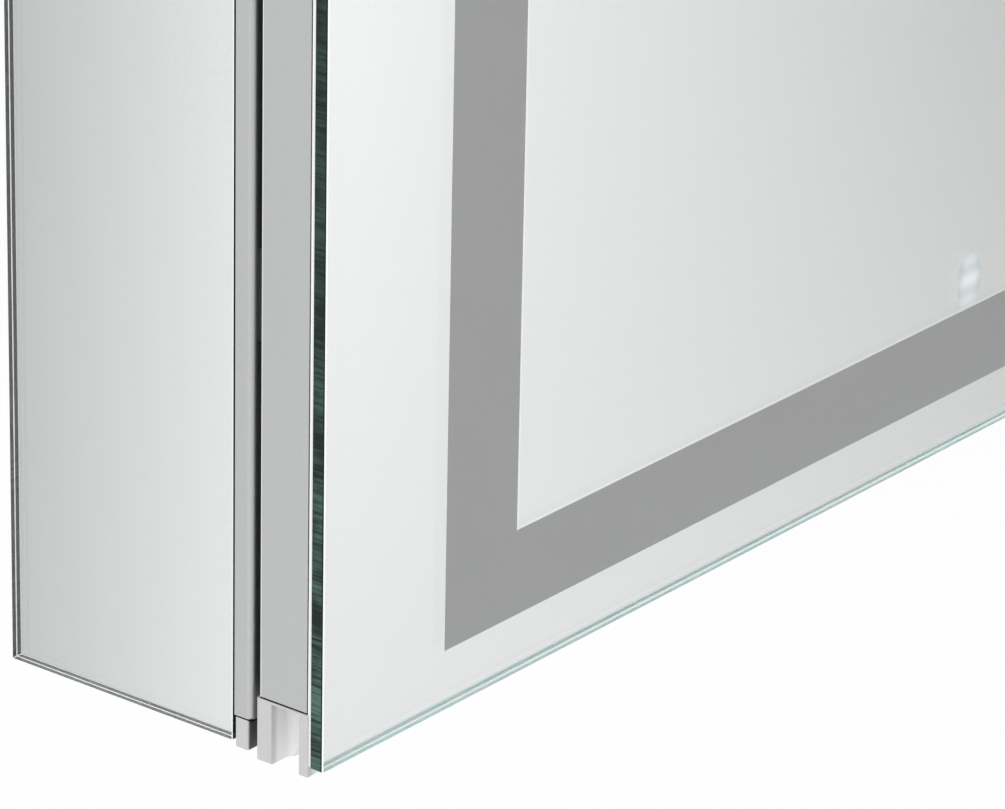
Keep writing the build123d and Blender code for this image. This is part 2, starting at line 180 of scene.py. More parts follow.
def ground_ripple():
    """Marks that a grinding wheel leaves across a glass edge: short ripples and darker blotches, which
    are stronger towards the top and bottom ends."""
    group, given, out = new_group(
        "GroundRipple", [("Stretch", VECTOR, (60.0, 120.0, 900.0)),
                         ("Low", FLOAT, 0.05), ("High", FLOAT, 0.3),
                         ("Dark", COLOUR, (0.01, 0.02, 0.018, 1)), ("Light", COLOUR, (0.05, 0.09, 0.08, 1))],
        [("Color", COLOUR), ("Roughness", FLOAT), ("Height", FLOAT)])
    place = add(group, "ShaderNodeTexCoord")
    scaled = add(group, "ShaderNodeVectorMath", operation="MULTIPLY")
    wire(group, place, "Object", scaled, 0)
    wire(group, given, "Stretch", scaled, 1)
    ripple = add(group, "ShaderNodeTexNoise", Scale=1.0, Detail=4.0, Roughness=0.6, Distortion=0.25)
    wire(group, scaled, "Vector", ripple, "Vector")
    blotch = add(group, "ShaderNodeTexNoise", Scale=60.0, Detail=3.0)
    wire(group, place, "Object", blotch, "Vector")
    both = add(group, "ShaderNodeMath", operation="MULTIPLY")
    wire(group, ripple, "Fac", both, 0)
    wire(group, blotch, "Fac", both, 1)
    patchy = add(group, "ShaderNodeMapRange", From_Min=0.18, From_Max=0.36)
    wire(group, both, "Value", patchy, "Value")
    split = add(group, "ShaderNodeSeparateXYZ")
    wire(group, place, "Object", split, "Vector")
    tall = add(group, "ShaderNodeMath", operation="ABSOLUTE")
    wire(group, split, "Z", tall, 0)
    lively = ramp_between(group, 0.32, 1.0, 0.22, 0.37)
    wire(group, tall, "Value", lively, "Value")
    fade = add(group, "ShaderNodeMath", operation="MULTIPLY")
    wire(group, patchy, "Result", fade, 0)
    wire(group, lively, "Result", fade, 1)
    shade = add(group, "ShaderNodeMix", data_type="RGBA")
    wire(group, fade, "Value", shade, 0)
    wire(group, given, "Dark", shade, 6)
    wire(group, given, "Light", shade, 7)
    rough = add(group, "ShaderNodeMapRange")
    wire(group, fade, "Value", rough, "Value")
    wire(group, given, "Low", rough, "To Min")
    wire(group, given, "High", rough, "To Max")
    group.links.new(shade.outputs[2], out.inputs["Color"])
    wire(group, rough, "Result", out, "Roughness")
    wire(group, ripple, "Fac", out, "Height")
    return group


def axis_mask():
    """0 to 1 between two places along one object axis, which Pick selects: (1, 0, 0) is X."""
    group, given, out = new_group(
        "AxisMask", [("Pick", VECTOR, (0.0, 1.0, 0.0)), ("Start", FLOAT, 0.0), ("End", FLOAT, 0.001)],
        [("Mask", FLOAT)])
    place = add(group, "ShaderNodeTexCoord")
    along = add(group, "ShaderNodeVectorMath", operation="DOT_PRODUCT")
    wire(group, place, "Object", along, 0)
    wire(group, given, "Pick", along, 1)
    ramp = ramp_between(group, 0.0, 1.0, 0.0, 1.0)
    wire(group, along, "Value", ramp, "Value")
    wire(group, given, "Start", ramp, "From Min")
    wire(group, given, "End", ramp, "From Max")
    wire(group, ramp, "Result", out, "Mask")
    return group


DRAWN_LINES = drawn_lines()
AXIS_MASK = axis_mask()
FINE_GRAIN = fine_grain()
GROUND_RIPPLE = ground_ripple()


def place_group(made, group, **values):
    """Puts a shader group in the material and sets its inputs."""
    node = made.node_tree.nodes.new("ShaderNodeGroup")
    node.node_tree = group
    for key, value in values.items():
        node.inputs[key].default_value = value
    return node


def bump(made, shader, source, strength, distance):
    """Raises the surface by the Height output of source."""
    node = add(made.node_tree, "ShaderNodeBump", Strength=strength, Distance=distance)
    wire(made.node_tree, source, "Height", node, "Height")
    wire(made.node_tree, node, "Normal", shader, "Normal")


CORNER_NEAR = 0.18       # from the middle to where the left corner's painted light begins
CORNER_AT = 0.33


def corner_painted_light(made, away, corner):
    """Painted light on a glass edge seen from inside: a tone that goes from one colour to another towards the
    left side of the cabinet.
    """
    tree = made.node_tree
    near = place_group(made, AXIS_MASK, Pick=(-1, 0, 0), Start=CORNER_NEAR, End=CORNER_AT)
    mix = add(tree, "ShaderNodeMix", data_type="RGBA")
    wire(tree, near, "Mask", mix, 0)
    mix.inputs[6].default_value = (*away, 1)
    mix.inputs[7].default_value = (*corner, 1)
    return mix.outputs[2]


def tone_change(made, shader, factor, colour):
    """Turns the base colour to another one where the factor output (node, socket name) is 1."""
    tree = made.node_tree
    mix = add(tree, "ShaderNodeMix", data_type="RGBA")
    wire(tree, *factor, mix, 0)
    base = shader.inputs["Base Color"]
    if base.is_linked:
        tree.links.new(base.links[0].from_socket, mix.inputs[6])
    else:
        mix.inputs[6].default_value = base.default_value[:]
    if isinstance(colour, tuple):
        mix.inputs[7].default_value = (*colour, 1)
    else:
        tree.links.new(colour, mix.inputs[7])
    tree.links.new(mix.outputs[2], base)


def tone_along(made, shader, pick, start, end, colour):
    """Another colour past a place along an object axis."""
    mask = place_group(made, AXIS_MASK, Pick=pick, Start=start, End=end)
    tone_change(made, shader, (mask, "Mask"), colour)


# ---- materials ------------------------------------------------------------------------------
def drawn_metal(name, colour, low, high, stretch, strength=0.05, tones=()):
    """Anodised or rolled metal with fine lines along its length. tones are colour changes along an axis."""
    made, shader = material(name)
    shader.inputs["Base Color"].default_value = (*colour, 1)
    shader.inputs["Metallic"].default_value = 1.0
    lines = place_group(made, DRAWN_LINES, Stretch=stretch, Low=low, High=high)
    wire(made.node_tree, lines, "Roughness", shader, "Roughness")
    bump(made, shader, lines, strength, 0.00005)
    for tone in tones:
        tone_along(made, shader, *tone)
    return made


def grained(name, dark, light, low, high, grain=1500.0, strength=0.08, metallic=0.0, cloud=25.0, tones=()):
    """Moulded plastic, powder coat, rubber or foam. tones are colour changes along an axis."""
    made, shader = material(name)
    shader.inputs["Metallic"].default_value = metallic
    node = place_group(made, FINE_GRAIN, Grain=grain, Cloud=cloud, Low=low, High=high,
                       Dark=(*dark, 1), Light=(*light, 1))
    wire(made.node_tree, node, "Color", shader, "Base Color")
    wire(made.node_tree, node, "Roughness", shader, "Roughness")
    bump(made, shader, node, strength, 0.0001)
    for tone in tones:
        tone_along(made, shader, *tone)
    return made


def silver(name, tint):
    """Silvering: a mirror with the faintest clouding."""
    made, shader = material(name)
    shader.inputs["Metallic"].default_value = 1.0
    node = place_group(made, FINE_GRAIN, Grain=40.0, Cloud=3.0, Low=0.0, High=0.012,
                       Dark=(*[0.985 * c for c in tint], 1), Light=(*tint, 1))
    wire(made.node_tree, node, "Color", shader, "Base Color")
    wire(made.node_tree, node, "Roughness", shader, "Roughness")
    return made


GLASS_IOR = 1.52


def soak_in(made, depth_tint, density):
    """Green that float glass shows through long ways inside it."""
    soak = add(made.node_tree, "ShaderNodeVolumeAbsorption", Color=(*depth_tint, 1), Density=density)
    wire(made.node_tree, soak, "Volume", made.node_tree.nodes["Material Output"], "Volume")


def clear_glass(name, depth_tint, density):
    """Clear float glass; the tint shows through long ways inside it."""
    made, shader = material(name)
    shader.inputs["Base Color"].default_value = (1, 1, 1, 1)
    shader.inputs["Roughness"].default_value = 0.0
    shader.inputs["IOR"].default_value = GLASS_IOR
    shader.inputs["Transmission Weight"].default_value = 1.0
    soak_in(made, depth_tint, density)
    return made


def ground_edge(name, stretch, dark, light, inside, tones=(), rear_highlight=None):
    """Ground edge of a glass pane. Looking along the sheet it is dark; seen through the face, from inside, it
    takes the tone given in inside, which is painted light for what the glass carries to the edge, and past a
    span in Y, given as (start, end), it turns to a painted white highlight."""
    made, shader = material(name)
    shader.inputs["Specular IOR Level"].default_value = 0.2
    node = place_group(made, GROUND_RIPPLE, Stretch=stretch, Low=0.12, High=0.35, Dark=(*dark, 1),
                       Light=(*light, 1))
    wire(made.node_tree, node, "Color", shader, "Base Color")
    wire(made.node_tree, node, "Roughness", shader, "Roughness")
    bump(made, shader, node, 0.5, 0.00015)
    for tone in tones:
        tone_along(made, shader, *tone)
    behind = add(made.node_tree, "ShaderNodeNewGeometry")
    inner = corner_painted_light(made, *inside)
    # Painted white highlight along the rear of the edge, seen only through the glass.
    if rear_highlight:
        rear = place_group(made, AXIS_MASK, Pick=(0, 1, 0), Start=rear_highlight[0], End=rear_highlight[1])
        whiter = add(made.node_tree, "ShaderNodeMix", data_type="RGBA")
        wire(made.node_tree, rear, "Mask", whiter, 0)
        made.node_tree.links.new(inner, whiter.inputs[6])
        whiter.inputs[7].default_value = (1, 1, 1, 1)
        inner = whiter.outputs[2]
    # Painted light: the inner tone is seen only through the glass.
    tone_change(made, shader, (behind, "Backfacing"), inner)
    return made


def painted_inner_glow(made, colour, strength):
    """Painted glow: emission inside this surface, seen only through the glass, standing in for light that the
    pane gathers there.
    """
    tree = made.node_tree
    shader = tree.nodes["Principled BSDF"]
    behind = add(tree, "ShaderNodeNewGeometry")
    lift = add(tree, "ShaderNodeMath", operation="MULTIPLY")
    wire(tree, behind, "Backfacing", lift, 0)
    lift.inputs[1].default_value = strength
    shader.inputs["Emission Color"].default_value = (*colour, 1)
    wire(tree, lift, "Value", shader, "Emission Strength")


def frosted(name, dark, light):
    """Sandblasted glass with fine speckle."""
    return grained(name, dark, light, 0.55, 0.65, grain=4000.0, strength=0.05, cloud=8.0)


MARK_CORE = 0.25         # of the mark's half width, where its glow is full
MARK_RIM = 0.97
MARK_RIM_GLOW = 0.5
MARK_SPOT_STEP = 0.40    # of the mark's height, between its bright spots
MARK_GLOW = (0.22, 0.44)     # between the spots and on them


def lit_mark():
    """Touch mark: blasted glass with the soft blue-white standby light of its lamp, in three spots."""
    made = frosted("blasted_mark", (0.84, 0.86, 0.87), (0.88, 0.90, 0.91))
    tree = made.node_tree
    shader = tree.nodes["Principled BSDF"]
    low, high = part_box("touch_mark")
    middle = (low + high) / 2
    half = (high.x - low.x) / 2
    place = add(tree, "ShaderNodeTexCoord")
    offset = add(tree, "ShaderNodeVectorMath", operation="SUBTRACT")
    wire(tree, place, "Object", offset, 0)
    offset.inputs[1].default_value = middle
    fold = add(tree, "ShaderNodeVectorMath", operation="ABSOLUTE")
    wire(tree, offset, "Vector", fold, 0)
    ends = add(tree, "ShaderNodeVectorMath", operation="SUBTRACT")
    wire(tree, fold, "Vector", ends, 0)
    ends.inputs[1].default_value = (0, 1, (high.z - low.z) / 2 - half)
    beyond = add(tree, "ShaderNodeVectorMath", operation="MAXIMUM")
    wire(tree, ends, "Vector", beyond, 0)
    beyond.inputs[1].default_value = (0, 0, 0)
    reach = add(tree, "ShaderNodeVectorMath", operation="LENGTH")
    wire(tree, beyond, "Vector", reach, 0)
    glow = ramp_between(tree, 1.0, MARK_RIM_GLOW, MARK_CORE * half, MARK_RIM * half)
    wire(tree, reach, "Value", glow, "Value")
    split = add(tree, "ShaderNodeSeparateXYZ")
    wire(tree, offset, "Vector", split, "Vector")
    turns = add(tree, "ShaderNodeMath", operation="MULTIPLY")
    wire(tree, split, "Z", turns, 0)
    turns.inputs[1].default_value = 2 * math.pi / (MARK_SPOT_STEP * (high.z - low.z))
    wave = add(tree, "ShaderNodeMath", operation="COSINE")
    wire(tree, turns, "Value", wave, 0)
    spots = add(tree, "ShaderNodeMapRange", From_Min=-1.0, From_Max=1.0, To_Min=MARK_GLOW[0],
                To_Max=MARK_GLOW[1])
    wire(tree, wave, "Value", spots, "Value")
    strength = add(tree, "ShaderNodeMath", operation="MULTIPLY")
    wire(tree, glow, "Result", strength, 0)
    wire(tree, spots, "Result", strength, 1)
    shader.inputs["Emission Color"].default_value = (0.82, 0.93, 1.0, 1)
    wire(tree, strength, "Value", shader, "Emission Strength")
    return made


# Painted highlight: a bright line on the middle silver along its cut edge.
SILVER_EDGE_HIGHLIGHT = (0.9 * MM, 0.8 * MM)      # the bright line's start and end, in from the cut edge
SILVER_EDGE_HIGHLIGHT_TONE = (0.98, 0.98, 0.98)


def edged_silver():
    """Silvering of the middle, with a painted highlight: a bright line along the cut edge that borders the
    lit band.
    """
    made = silver("middle_silver", SILVER_TINT)
    shader = made.node_tree.nodes["Principled BSDF"]
    low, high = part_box("centre_silvering")
    for pick, reach in (((-1, 0, 0), -low.x), ((1, 0, 0), high.x), ((0, 0, -1), -low.z), ((0, 0, 1), high.z)):
        tone_along(made, shader, pick, reach - SILVER_EDGE_HIGHLIGHT[0], reach - SILVER_EDGE_HIGHLIGHT[1], SILVER_EDGE_HIGHLIGHT_TONE)
    return made


GLASS_TINT = (0.30, 0.80, 0.62)
GLASS_SOAK = 4.0
SILVER_TINT = (0.905, 0.905, 0.90)
# Tones that change along an axis: the axis, where the change starts and ends, and the new colour.
# The noses of the post and of its cap turn dark round their corners, from the side to the front: painted
# shade, standing in for the shade in the gap behind the door.
POST_NOSE_SHADE = ((0, -1, 0), 0.0926, 0.0942, (0.46, 0.46, 0.46))
CAP_NOSE_SHADE = ((0, -1, 0), 0.0929, 0.0934, (0.05, 0.05, 0.05))
# Painted highlight: the frame's outer rear corner is bright. Painted light: the door caps are paler in from
# their outer face, so their shaded channel reads light.
FRAME_REAR_HIGHLIGHT = ((-1, 1, 0), 0.2313, 0.2315, (0.95, 0.95, 0.95))
# Painted light in the door caps' channel: paler in from their outer face.
CHANNEL_PAINTED_LIGHT = ((1, 0, 0), -0.3292, -0.3262, (0.76, 0.76, 0.76))
MATERIALS = {
    "front_glass": clear_glass("clear_front_glass", GLASS_TINT, GLASS_SOAK),
    "shelf_glass": clear_glass("clear_shelf_glass", (0.45, 0.92, 0.75), 9.0),
    "silvering": silver("front_silver", SILVER_TINT),
    "side_mirror": silver("side_silver", (0.875, 0.885, 0.872)),
    "inner_mirror": silver("inner_silver", (0.88, 0.90, 0.89)),
    "frost": frosted("blasted_band", (0.475, 0.472, 0.472), (0.495, 0.492, 0.492)),
    "frost_mark": lit_mark(),
    "diffuser": grained("opal_acrylic", (0.86, 0.86, 0.85), (0.90, 0.90, 0.89), 0.35, 0.45),
    "light_chip": grained("yellow_phosphor", (0.85, 0.72, 0.25), (0.92, 0.80, 0.32), 0.5, 0.6),
    "circuit_board": grained("white_board", (0.80, 0.80, 0.78), (0.86, 0.86, 0.84), 0.4, 0.5),
    "film": grained("amber_film", (0.62, 0.36, 0.06), (0.70, 0.42, 0.08), 0.25, 0.35),
    "foam": grained("black_foam", (0.012, 0.012, 0.012), (0.03, 0.03, 0.03), 0.85, 0.95, 900.0, 0.5),
    "black_plastic": grained("black_moulding", (0.02, 0.02, 0.022), (0.035, 0.035, 0.037), 0.4, 0.5),
    "white_plastic": grained("white_moulding", (0.76, 0.76, 0.75), (0.82, 0.82, 0.81), 0.35, 0.45),
    "rubber": grained("black_rubber", (0.012, 0.012, 0.013), (0.022, 0.022, 0.023), 0.6, 0.75),
    "anodised_frame": drawn_metal("anodised_frame", (0.575, 0.595, 0.59), 0.42, 0.48, (1500.0, 1500.0, 3.0),
                                  tones=(FRAME_REAR_HIGHLIGHT,)),
    "anodised_post": drawn_metal("anodised_post", (0.58, 0.60, 0.59), 0.36, 0.42, (1500.0, 1500.0, 3.0),
                                 tones=(POST_NOSE_SHADE,)),
    "satin_cap": grained("satin_cap", (0.49, 0.49, 0.49), (0.52, 0.52, 0.52), 0.30, 0.36, 2600.0, 0.04,
                         tones=(CHANNEL_PAINTED_LIGHT,)),
    "painted_panel": grained("silver_powder_coat", (0.60, 0.61, 0.61), (0.66, 0.67, 0.67), 0.38, 0.48, 2200.0,
                             0.12, 0.35),
    "zinc_sheet": drawn_metal("zinc_sheet", (0.55, 0.56, 0.57), 0.32, 0.5, (6.0, 6.0, 500.0), 0.08),
    "hinge_steel": drawn_metal("hinge_steel", (0.52, 0.525, 0.53), 0.24, 0.34, (1200.0, 1200.0, 6.0)),
    "chrome": drawn_metal("bright_plate", (0.78, 0.79, 0.80), 0.06, 0.12, (300.0, 300.0, 300.0), 0.02),
}
MIDDLE_SILVER = edged_silver()
# Post caps: near-black painted shade on their fronts, for the shade in the gap behind the door.
POST_CAP = grained("satin_post_cap", (0.49, 0.49, 0.49), (0.52, 0.52, 0.52), 0.30, 0.36, 2600.0, 0.04,
                   tones=(CAP_NOSE_SHADE,))
# Inner tones, seen through the glass, are painted light: pale on the feet, and on the front foot lighter
# towards the left corner, with a painted white highlight at its rear.
FRONT_UPRIGHT = ground_edge("front_glass_edge", (45.0, 45.0, 1000.0), (0.005, 0.012, 0.0095),
                            (0.070, 0.140, 0.122), ((0.05, 0.09, 0.08), (0.05, 0.09, 0.08)),
                            (((0, -1, 0), 0.1210, 0.1213, (0.0015, 0.003, 0.0025)),))
FRONT_LEVEL = ground_edge("front_glass_foot", (1000.0, 45.0, 45.0), (0.010, 0.022, 0.018),
                          (0.060, 0.11, 0.098), ((0.52, 0.66, 0.63), (0.86, 1.0, 0.97)),
                          rear_highlight=(-0.1195, -0.1191))
SIDE_UPRIGHT = ground_edge("side_glass_edge", (45.0, 45.0, 900.0), (0.008, 0.014, 0.012),
                           (0.05, 0.08, 0.07), ((0.06, 0.065, 0.064), (0.06, 0.065, 0.064)))
SIDE_LEVEL = ground_edge("side_glass_foot", (900.0, 900.0, 45.0), (0.012, 0.022, 0.019),
                         (0.06, 0.09, 0.08), ((0.25, 0.26, 0.26), (0.25, 0.26, 0.26)))
ARRIS = grained("glass_arris", (0.80, 0.84, 0.83), (0.88, 0.92, 0.91), 0.3, 0.45, 1800.0, 0.2)
# Painted glow in the front foot and in the arrises, seen only through the glass.
painted_inner_glow(FRONT_LEVEL, (0.38, 1.0, 0.97), 0.16)
painted_inner_glow(ARRIS, (1.0, 1.0, 1.0), 0.45)
EDGE_BEAD = grained("clear_white_bead", (0.78, 0.78, 0.78), (0.84, 0.84, 0.84), 0.3, 0.4, 1800.0, 0.1)
# Painted shade: near-black rings in the seams at the ends of the uprights, for the shade in the gaps.
SEAM_SHADE = grained("seam_painted_shade", (0.003, 0.003, 0.003), (0.006, 0.006, 0.006), 0.8, 0.9)
SEAM_SHADE.node_tree.nodes["Principled BSDF"].inputs["Specular IOR Level"].default_value = 0.08


def dress_frame():
    """Every CAD node takes the material of its slot."""
    for name, node in NODES.items():
        node.data.materials.clear()
        look = MATERIALS[SLOT_OF[name]]
        if name.startswith("post_cap"):
            look = POST_CAP
        elif name == "centre_silvering":
            look = MIDDLE_SILVER
        node.data.materials.append(look)


# ---- mesh helpers ---------------------------------------------------------------------------
def as_object(name, mesh, *looks):
    """Puts the mesh in the scene with its materials."""
    for look in looks:
        mesh.materials.append(look)
    piece = bpy.data.objects.new(name, mesh)
    bpy.context.scene.collection.objects.link(piece)
    return piece


def bevelled_slab(name, low, high, arris, thin, looks):
    """A glass slab with ground arrises. thin is the axis through its thickness.
    looks are the faces, the upright edges, the level edges and the arrises."""
    shape = bmesh.new()
    bmesh.ops.create_cube(shape, size=1.0)
    for vertex in shape.verts:
        for axis in range(3):
            middle = (low[axis] + high[axis]) / 2
            vertex.co[axis] = middle + vertex.co[axis] * (high[axis] - low[axis])
    bmesh.ops.bevel(shape, geom=shape.edges[:], offset=arris, segments=1, profile=0.5, affect="EDGES")
    for face in shape.faces:
        straight = [abs(c) > 0.99 for c in face.normal]
        if straight[thin]:
            face.material_index = 0
        elif straight[2]:
            face.material_index = 2
        elif any(straight):
            face.material_index = 1
        else:
            face.material_index = 3
    mesh = bpy.data.meshes.new(name)
    shape.to_mesh(mesh)
    shape.free()
    return as_object(name, mesh, *looks)


HAIR_ARRIS = 0.02 * MM
AIR = 0.03 * MM          # between a glass face and the silver behind it
SILVER_THICK = 0.12 * MM
SILVER_INSET = 0.03 * MM     # silver's rim within the pane's arris


def plain_slab(name, low, high, look):
    return bevelled_slab(name, low, high, HAIR_ARRIS, 1, (look, look, look, look))


def mirror_pane(node, body, slot, thin, back, arris, looks):
    """Replaces a mirror node by its glass and the silver behind it.
    back is +1 or -1: the side of the thin axis where the silver lies."""
    low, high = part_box(node)
    glass_low, glass_high = Vector(low), Vector(high)
    coat_low, coat_high = Vector(low), Vector(high)
    inset = arris + SILVER_INSET
    for axis in range(3):
        if axis != thin:
            coat_low[axis] += inset
            coat_high[axis] -= inset
    if back > 0:
        coat_low[thin] = high[thin] - SILVER_THICK
        glass_high[thin] = coat_low[thin] - AIR
    else:
        coat_high[thin] = low[thin] + SILVER_THICK
        glass_low[thin] = coat_high[thin] + AIR
    pane = bevelled_slab(node + "_pane", glass_low, glass_high, arris, thin, looks)
    coat = plain_slab(node + "_silver", coat_low, coat_high, MATERIALS[slot])
    for piece in (pane, coat):
        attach(piece, body)
        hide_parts(node)


# ---- glass pieces ---------------------------------------------------------------------------
FRONT_ARRIS_WIDE = 0.35 * MM
SIDE_ARRIS_WIDE = 0.22 * MM
INNER_ARRIS_WIDE = 0.4 * MM
SHELF_ARRIS_WIDE = 0.6 * MM


def front_pane():
    """The door's glass; its silver and its frosted band are CAD pieces behind it."""
    low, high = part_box("front_glass")
    high.y -= AIR
    pane = bevelled_slab("front_pane", low, high, FRONT_ARRIS_WIDE, 1,
                         (MATERIALS["front_glass"], FRONT_UPRIGHT, FRONT_LEVEL, ARRIS))
    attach(pane, "door")
    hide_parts("front_glass")


def shelves():
    for number in (1, 2, 3):
        node = "glass_shelf_%d" % number
        low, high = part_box(node)
        look = MATERIALS["shelf_glass"]
        shelf = bevelled_slab("shelf_pane_%d" % number, low, high, SHELF_ARRIS_WIDE, 2,
                              (look, look, look, look))
        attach(shelf, "cabinet")
        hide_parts(node)


def glass():
    front_pane()
    side_looks = (MATERIALS["front_glass"], SIDE_UPRIGHT, SIDE_LEVEL, ARRIS)
    mirror_pane("side_mirror_left", "cabinet", "side_mirror", 0, 1, SIDE_ARRIS_WIDE, side_looks)
    mirror_pane("side_mirror_right", "cabinet", "side_mirror", 0, -1, SIDE_ARRIS_WIDE, side_looks)
    mirror_pane("inner_mirror", "door", "inner_mirror", 1, -1, INNER_ARRIS_WIDE, side_looks)
    mirror_pane("back_mirror", "cabinet", "inner_mirror", 1, 1, INNER_ARRIS_WIDE, side_looks)
    shelves()


# ---- seams and bead -------------------------------------------------------------------------
SEAM = 0.5 * MM
SEAM_DEEP = 0.9 * MM
SEAM_EDGE = 0.06 * MM        # shade ring's outer edge within the groove
SEAM_END = 0.01 * MM         # air at each end of a shade ring
STILE_WIDE = 12.8 * MM
POST_WIDE = 15.4 * MM
POST_REAR = -0.088           # rear end of the shade ring under a post
BEAD_RIM = 0.55 * MM         # bead's outer edge within the glass
BEAD_WIDE = 2.2 * MM
BEAD_NEAR = 0.42 * MM        # bead's front and rear, behind the glass
BEAD_FAR = 1.15 * MM


def prism_ring(shape, outer, inner, axis, start, end):
    """Adds a rectangular ring to a bmesh. outer and inner are (low, high) pairs over the two other
    axes, in their order; the ring runs from start to end along axis."""
    others = [a for a in range(3) if a != axis]
    loops = []
    for (low, high), level in ((outer, start), (inner, start), (outer, end), (inner, end)):
        loop = []
        for u, v in ((low[0], low[1]), (high[0], low[1]), (high[0], high[1]), (low[0], high[1])):
            spot = [0.0, 0.0, 0.0]
            spot[axis] = level
            spot[others[0]] = u
            spot[others[1]] = v
            loop.append(shape.verts.new(spot))
        loops.append(loop)
    out_near, in_near, out_far, in_far = loops
    for i in range(4):
        j = (i + 1) % 4
        for a, b in ((out_near, in_near), (in_near, in_far), (in_far, out_far), (out_far, out_near)):
            shape.faces.new((a[i], a[j], b[j], b[i]))


def finish_mesh(name, shape, look):
    """Turns the faces of a bmesh outwards and makes an object of it."""
    bmesh.ops.recalc_face_normals(shape, faces=shape.faces[:])
    mesh = bpy.data.meshes.new(name)
    shape.to_mesh(mesh)
    shape.free()
    return as_object(name, mesh, look)


def seams(name, body, uprights, rear_side):
    """Near-black rings in the grooves between the ends of two uprights and their caps: painted shade,
    standing in for the shade in the gaps.
    uprights gives the width of each; rear_side, where given, is as far back as a ring goes."""
    shape = bmesh.new()
    for node, wide in uprights.items():
        low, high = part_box(node)
        if rear_side is not None:
            high.y = min(high.y, rear_side)
        x_out, x_in = (low.x, low.x + wide) if low.x < 0 else (high.x - wide, high.x)
        outer = ((x_out + SEAM_EDGE, low.y + SEAM_EDGE), (x_in - SEAM_EDGE, high.y - SEAM_EDGE))
        inner = ((x_out + SEAM_DEEP, low.y + SEAM_DEEP), (x_in - SEAM_DEEP, high.y - SEAM_DEEP))
        for start, end in ((low.z - SEAM, low.z), (high.z, high.z + SEAM)):
            prism_ring(shape, outer, inner, 2, start + SEAM_END, end - SEAM_END)
    piece = finish_mesh(name, shape, SEAM_SHADE)
    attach(piece, body)


def edge_bead():
    """Pale bead behind the rim of the door glass, between it and the frame."""
    low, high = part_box("front_glass")
    x0, x1, z0, z1 = low.x + BEAD_RIM, high.x - BEAD_RIM, low.z + BEAD_RIM, high.z - BEAD_RIM
    outer = ((x0, z0), (x1, z1))
    inner = ((x0 + BEAD_WIDE, z0 + BEAD_WIDE), (x1 - BEAD_WIDE, z1 - BEAD_WIDE))
    shape = bmesh.new()
    prism_ring(shape, outer, inner, 1, high.y + BEAD_NEAR, high.y + BEAD_FAR)
    piece = finish_mesh("glass_rim_bead", shape, EDGE_BEAD)
    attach(piece, "door")


def trims():
    seams("door_seams", "door", {"door_stile_left": STILE_WIDE, "door_stile_right": STILE_WIDE}, None)
    seams("post_seams", "cabinet", {"front_post_left": POST_WIDE, "front_post_right": POST_WIDE}, POST_REAR)
    edge_bead()


# ---- repeated small parts -------------------------------------------------------------------
def repeat_tree():
    """Puts a piece at every vertex of the mesh, each turned about its own axis by its own amount."""
    tree = bpy.data.node_groups.new("RepeatAtPlaces", "GeometryNodeTree")
    for label, kind, way in (("Places", "NodeSocketGeometry", "INPUT"),
                             ("Piece", "NodeSocketObject", "INPUT"),
                             ("Facing", "NodeSocketVector", "INPUT"), ("Turn", "NodeSocketFloat", "INPUT"),
                             ("Seed", "NodeSocketInt", "INPUT"), ("Look", "NodeSocketMaterial", "INPUT"),
                             ("Result", "NodeSocketGeometry", "OUTPUT")):
        tree.interface.new_socket(label, in_out=way, socket_type=kind)
    given = tree.nodes.new("NodeGroupInput")
    out = tree.nodes.new("NodeGroupOutput")
    part = add(tree, "GeometryNodeObjectInfo", transform_space="ORIGINAL")
    place = add(tree, "GeometryNodeInstanceOnPoints")
    spin = add(tree, "FunctionNodeRandomValue", data_type="FLOAT")
    angle = add(tree, "ShaderNodeCombineXYZ")
    turn = add(tree, "GeometryNodeRotateInstances")
    real = add(tree, "GeometryNodeRealizeInstances")
    look = add(tree, "GeometryNodeSetMaterial")
    wire(tree, given, "Piece", part, "Object")
    wire(tree, given, "Places", place, "Points")
    wire(tree, part, "Geometry", place, "Instance")
    wire(tree, given, "Facing", place, "Rotation")
    float_max = [i for i in spin.inputs if i.name == "Max" and i.type == "VALUE"][0]
    float_out = [o for o in spin.outputs if o.type == "VALUE"][0]
    tree.links.new(given.outputs["Turn"], float_max)
    wire(tree, given, "Seed", spin, "Seed")
    tree.links.new(float_out, angle.inputs["Y"])
    wire(tree, place, "Instances", turn, "Instances")
    wire(tree, angle, "Vector", turn, "Rotation")
    wire(tree, turn, "Instances", real, "Geometry")
    wire(tree, real, "Geometry", look, "Geometry")
    wire(tree, given, "Look", look, "Material")
    wire(tree, look, "Geometry", out, "Result")
    return tree


REPEAT = repeat_tree()
SEED = 3
ANY_TURN = 2 * math.pi       # screws and rivets stop at any turn


